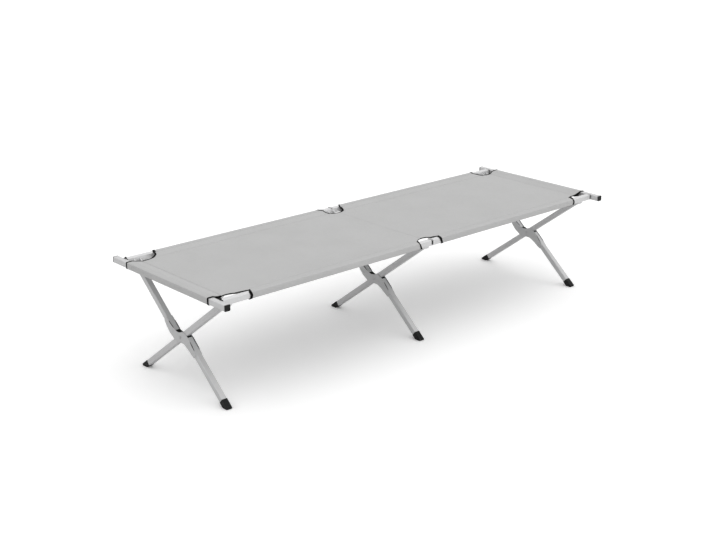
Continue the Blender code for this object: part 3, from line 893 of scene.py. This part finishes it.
def make_sleeve_tape(side, half):
    """The tape round both ends of a sleeve, along its slanted cuts."""
    way, out = HALVES[half], SIDES[side]
    path = loop_section(HALF + FIT / 2)
    ends = (("mid", FABRIC_X + way * MID_CUT, way), ("end", FABRIC_X + way * SLEEVE_END, -way))
    rounds = []
    for (where, x, into), width in zip(ends, TAPE_ENDS[f"{side}_{half}"]):

        def place(a, u, w):
            shift = end_shift(skew_of(way, out, where), u, w, max(0.0, a))
            return (x + into * a + shift, out * (RAIL_Y - u), RAIL_Z + w)

        rounds.append(tape_round(path, place, width))
    return joined(f"{side}_{half}_sleeve_binding", rounds, TAPE_BLACK, f"{side}_{half}_rail")


def tape_widths(line, wide_end):
    """The tape's widths along a line, from wide at one end of it to narrow."""
    parts = [max(0.0, 1.0 - (Vector(p) - Vector(wide_end)).length / TAPE_RUN) for p in line]
    return [TAPE_NARROW + (TAPE_WIDE - TAPE_NARROW) * min(1.0, 2 * part) for part in parts]


def make_panel_tape(half):
    """The tape along the cut-outs of the lying surface, and round its pocket's ends."""
    way = HALVES[half]
    parts = []
    for side, out in SIDES.items():
        corner, middle = corner_line(way, out), mid_line(way, out)
        pocket_end = Vector(corner[-1])
        # painted shade: near the pocket's end the tape's lower fold hangs down as a black flap in the
        # shaded mouth between the cloth's layers
        shares = [min(1.0, (Vector(p) - pocket_end).length / SHADE_FLAP_RUN) for p in corner]
        corner_shade_flaps = [TAPE_SHADE_FLAP * sin(pi * share) for share in shares]
        if half == "right":
            mid_widths = tape_widths(middle, middle[-1])
        else:
            mid_widths = [TAPE_NARROW * MID_TAPE_SHARE[side]] * len(middle)
        edges = (
            (corner, tape_widths(corner, corner[0]), corner_shade_flaps),
            (middle, mid_widths, [0.0] * len(middle)),
        )
        for line, widths, drops in edges:
            run = Vector(line[-1]) - Vector(line[0])
            to_middle = Vector((way * PANEL_MIDDLE, 0.0)) - Vector(line[0])
            if Vector((-run.y, run.x)).dot(to_middle) > 0:
                parts.append(tape_along(line, widths, drops))
            else:
                parts.append(tape_along(line[::-1], widths[::-1], drops[::-1]))
    path = loop_section(SLEEVE_IN)
    for out in SIDES.values():

        def place(a, u, w):
            return (way * (BAR_X - u), POCKET_Y[half] + out * (POCKET_HALF - a), RAIL_Z + w)

        parts.append(tape_round(path, place))
    return joined(f"{half}_panel_binding", parts, TAPE_BLACK, None)


# Stitches


def stitch(centre, run):
    """One small stitch along a level run, a low lozenge that stands on the cloth."""
    up = Vector((0.0, 0.0, 1.0))
    side = run.cross(up) * STITCH_WIDE
    ahead = run * (STITCH_LONG / 2)
    points = [centre - ahead - up * STITCH_SUNK, centre + ahead - up * STITCH_SUNK]
    for part in (-0.6, 0.6):
        middle = centre + ahead * part
        points += [middle + side, middle + up * STITCH_HIGH, middle - side]
    faces = [(0, 2, 3), (0, 3, 4), (2, 5, 6, 3), (3, 6, 7, 4), (5, 1, 6), (6, 1, 7), (0, 4, 7, 1, 5, 2)]
    return [tuple(p) for p in points], faces


def stitch_row(a, b):
    """Stitches from a to b, seen from above, on the lying surface."""
    a, b = Vector(a), Vector(b)
    count = round((b - a).length / STITCH_STEP)
    run = Vector((*(b - a).normalized(), 0.0))
    made = []
    for i in range(count):
        x, y = a.lerp(b, (i + 0.5) / count)
        made.append(stitch(Vector((x, y, lying_z(x, y))), run))
    return made


def make_panel_stitches(half):
    """Two rows along each side seam, and two along the pocket's seam."""
    way, middle = HALVES[half], POCKET_Y[half]
    start, end = (FABRIC_X + way * along for along in SIDE_ROW)
    made = []
    for out in SIDES.values():
        for off in STITCH_ROWS:
            y = out * (RAIL_Y - SIDE_SEAM - STITCH_LINE + off)
            made += stitch_row((start, y), (end, y))
    for off in STITCH_ROWS:
        x = way * (BAR_X - END_SEAM - STITCH_LINE + off)
        made += stitch_row((x, middle - POCKET_ROW), (x, middle + POCKET_ROW))
    return joined(f"{half}_panel_stitches", made, THREAD, None)


# Plugs, plates and painted shade lines at the crossings


def leg_a_skin(unit, rings):
    """A skin through rings of points (x, t, n) in leg A's own frame, moved to the bed's."""
    place = Matrix.Translation((UNITS[unit], 0.0, PIVOT_Z)) @ Matrix.Rotation(A_ANGLE, 4, "X")
    return swept([[tuple(place @ Vector(p)) for p in ring] for ring in rings])


def make_tube_plugs(unit):
    """A black plug in each cut end of leg A: a low domed flange, with lips and a recess in its face."""
    made = []
    for way, lip in PLUG_LIPS.items():
        n = -way * A_OFFSET

        # Each ring's place along the tube, half its width, its corner and how far it stands out

        levels = [
            (lip, HALF - 0.0002, 0.0022, 0.0),
            (lip - 0.0003, HALF - 0.0002, 0.0022, PLUG_PROUD),
            (0.0, HALF - 0.0002, 0.0022, PLUG_PROUD),
            (-0.0053, HALF - 0.0002, 0.0022, PLUG_PROUD),
            (-0.0062, HALF - 0.0011, 0.0018, PLUG_PROUD),
            (-0.0062, HALF - 0.0040, 0.0012, 0.0),
            (-0.0053, HALF - 0.0046, 0.0010, 0.0),
            (-0.0053, 0.0008, 0.0002, 0.0),
        ]
        rings = []
        for along, half, corner, proud in levels:
            t = way * (A_TUBE_START + along - 0.0001)
            ring = []
            for i in range(4):
                cx = (half - corner) * (1 if i in (0, 3) else -1)
                cn = (half - corner + 0.0002 + proud) * (1 if i in (0, 1) else -1)
                ring += [(x, t, n + v) for x, v in quarter((cx, cn), corner, i * pi / 2, 4)]
            rings.append(ring)
        made.append(leg_a_skin(unit, rings))
    return joined(f"tube_plugs_{unit}", made, BLACK_PLASTIC, f"leg_a_{unit}")


def make_plate(unit, half):
    """A crossing plate with softened edges, and its rivet heads."""
    way = HALVES[half]
    outline = closed_soft([*PLATE_TOPS[half], *PLATE_LOW], FINE_STEP)
    inset = []
    for (t, n), (dt, dn) in zip(outline, inward(outline)):
        inset.append((t + dt * PLATE_EDGE, n + dn * PLATE_EDGE))
    levels = [
        (CHEEK, inset),
        (CHEEK + PLATE_EDGE, outline),
        (EAR_OUTER - PLATE_EDGE, outline),
        (EAR_OUTER, inset),
    ]
    parts = [leg_a_skin(unit, [[(way * x, t, n) for t, n in line] for x, line in levels])]
    turns = [2 * pi * i / RIVET_SIDES for i in range(RIVET_SIDES)]
    for t in RIVET_PLACES:
        n = -A_OFFSET if t > 0 else A_OFFSET
        head = []
        for rise, radius in RIVET_RINGS:
            x = way * (EAR_OUTER + rise)
            head.append([(x, t + radius * cos(a), n + radius * sin(a)) for a in turns])
        parts.append(leg_a_skin(unit, head))
    plate = joined(f"{unit}_{half}_plate", parts, PLATE_METAL, f"leg_a_{unit}")
    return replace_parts(plate, f"plate_{unit}_{half}")


def make_plate_shade_lines(unit):
    """Painted shade where the plates meet the tube: thin black lines along the plates' top edges, and a
    black patch in the gap between plate and tube.
    """
    parts = []
    steps = 8
    for x, start, end in SHADE_LINES:
        rings = []
        for i in range(steps + 1):
            t, n = Vector(start).lerp(Vector(end), i / steps)
            size = 0.3 + 0.7 * sin(pi * i / steps) ** 0.5
            rings.append([(x + dx * size, t, n + dn * size) for dx, dn in SHADE_LINE_ROUND])
        parts.append(leg_a_skin(unit, rings))
    parts.append(leg_a_skin(unit, [[(x, t, n) for t, n in SHADE_PATCH] for x in SHADE_PATCH_X]))
    return joined(f"{unit}_plate_painted_shade", parts, BLACK_PLASTIC, f"leg_a_{unit}")


# Bumpers on the rails' ends at the mid joint


def make_collar(side, half):
    """A black bumper, from a rail's top round its outer corner and down its outer face."""
    way, out = HALVES[half], SIDES[side]
    outer = HALF + COLLAR_PROUD
    centre = (TUBE_CORNER - outer, outer - TUBE_CORNER)
    path = [(-outer + COLLAR_TOPS[side], outer), *quarter(centre, TUBE_CORNER, pi / 2, 5)]
    path.append((-outer, -COLLAR_DOWN))
    edge = [(0.0003, -COLLAR_PROUD), (0.0003, -0.0001), (0.0007, 0.0), (COLLAR_WIDE - 0.0004, 0.0)]
    edge += [(COLLAR_WIDE, -0.0002), (COLLAR_WIDE, -COLLAR_PROUD)]
    rings = []
    for u, w in path:
        ring = []
        for along, grow in edge:
            scale = (outer + grow) / outer
            ring.append((HINGE_X + way * along, out * (RAIL_Y - u * scale), RAIL_Z + w * scale))
        rings.append(ring)
    return new_mesh(f"{side}_{half}_collar", *swept(rings), BLACK_PLASTIC, f"{side}_{half}_rail")


# Stage, light and camera


def make_stage():
    """A white floor, which the camera sees brighter than it lights the bed."""
    mesh = bpy.data.meshes.new("floor")
    r = FLOOR_REACH
    mesh.from_pydata([(-r, -r, 0), (r, -r, 0), (r, r, 0), (-r, r, 0)], [], [(0, 1, 2, 3)])
    floor = bpy.data.objects.new("floor", mesh)
    floor.location.z = -FLOOR_DROP
    bpy.context.scene.collection.objects.link(floor)
    s = Shader(bpy.data.materials.new("floor_white"))
    plain = s.node("ShaderNodeBsdfDiffuse", {"Color": grey(FLOOR_COLOUR)}).outputs[0]
    lit = s.node("ShaderNodeBsdfDiffuse", {"Color": grey(FLOOR_SEEN)}).outputs[0]
    seen = s.node("ShaderNodeLightPath").outputs["Is Camera Ray"]
    shader = s.node("ShaderNodeMixShader", {0: seen, 1: plain, 2: lit}).outputs[0]
    s.links.new(shader, s.nodes["Material Output"].inputs["Surface"])
    mesh.materials.append(s.owner)


def make_world():
    """Light from all round, stronger on one side, before a background that looks plain white."""
    s = Shader(bpy.data.worlds.new("studio"))
    bpy.context.scene.world = s.owner
    where = s.node("ShaderNodeTexCoord").outputs["Generated"]
    lean = s.node("ShaderNodeVectorMath", {0: where, 1: LIGHT_LEAN}, operation="DOT_PRODUCT")
    light = s.nodes["Background"]
    s.put(light.inputs["Color"], grey(1.0))
    s.put(light.inputs["Strength"], s.math("ADD", lean.outputs["Value"], WORLD_LIGHT))
    seen = s.node("ShaderNodeBackground", {"Color": grey(1.0), "Strength": 1.0})
    rays = s.node("ShaderNodeLightPath").outputs
    either = s.math("MAXIMUM", rays["Is Camera Ray"], rays["Is Glossy Ray"])
    both = s.math("MAXIMUM", either, rays["Is Transmission Ray"])
    mix = s.node("ShaderNodeMixShader", {0: both, 1: light.outputs[0], 2: seen.outputs[0]})
    s.links.new(mix.outputs[0], s.nodes["World Output"].inputs["Surface"])


def make_camera():
    """The camera, where the photo was taken from."""
    data = bpy.data.cameras.new("camera")
    data.sensor_width = SENSOR_WIDTH
    data.lens = SENSOR_WIDTH * FOCAL_PIXELS / PICTURE_WIDTH
    camera = bpy.data.objects.new("camera", data)
    camera.location = CAMERA_PLACE
    camera.rotation_euler = (pi / 2 - CAMERA_DOWN, 0.0, -CAMERA_TURN)
    bpy.context.scene.collection.objects.link(camera)
    bpy.context.scene.camera = camera


# The whole scene

make_camera()
make_stage()
make_world()
bpy.context.scene.view_settings.view_transform = "Standard"

dress_nodes()
for half, way in HALVES.items():
    rail = f"near_{half}_rail"
    panel = make_panel(half)
    margins = [make_margin(side, half) for side in SIDES]
    pocket = make_pocket(half)
    tape = make_panel_tape(half)
    stitches = make_panel_stitches(half)
    for piece in (panel, *margins, pocket, tape, stitches):
        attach(piece, rail)
        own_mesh(piece)
    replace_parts(panel, f"{half}_panel")
    for side in SIDES:
        make_collar(side, half)

    # Flat sizes of the fabric's sheets

    rails = [f"{side}_{half}_rail" for side in SIDES]
    area = outline_area(panel_outline(way))
    under_pocket = hypot(END_SEAM - HALF - FIT, SLEEVE_IN + LYING - CLOTH)
    loop = flat_length(loop_section(HALF + FIT)) + under_pocket
    for rail, margin in zip(rails, margins):
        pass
    for side in SIDES:
        sleeve, binding = make_sleeve(side, half), make_sleeve_tape(side, half)
        size = (flat_length(loop_section(HALF + FIT / 2)), SLEEVE_END - MID_CUT)

for unit in UNITS:
    make_tube_plugs(unit)
    make_plate_shade_lines(unit)
    for half in HALVES:
        make_plate(unit, half)
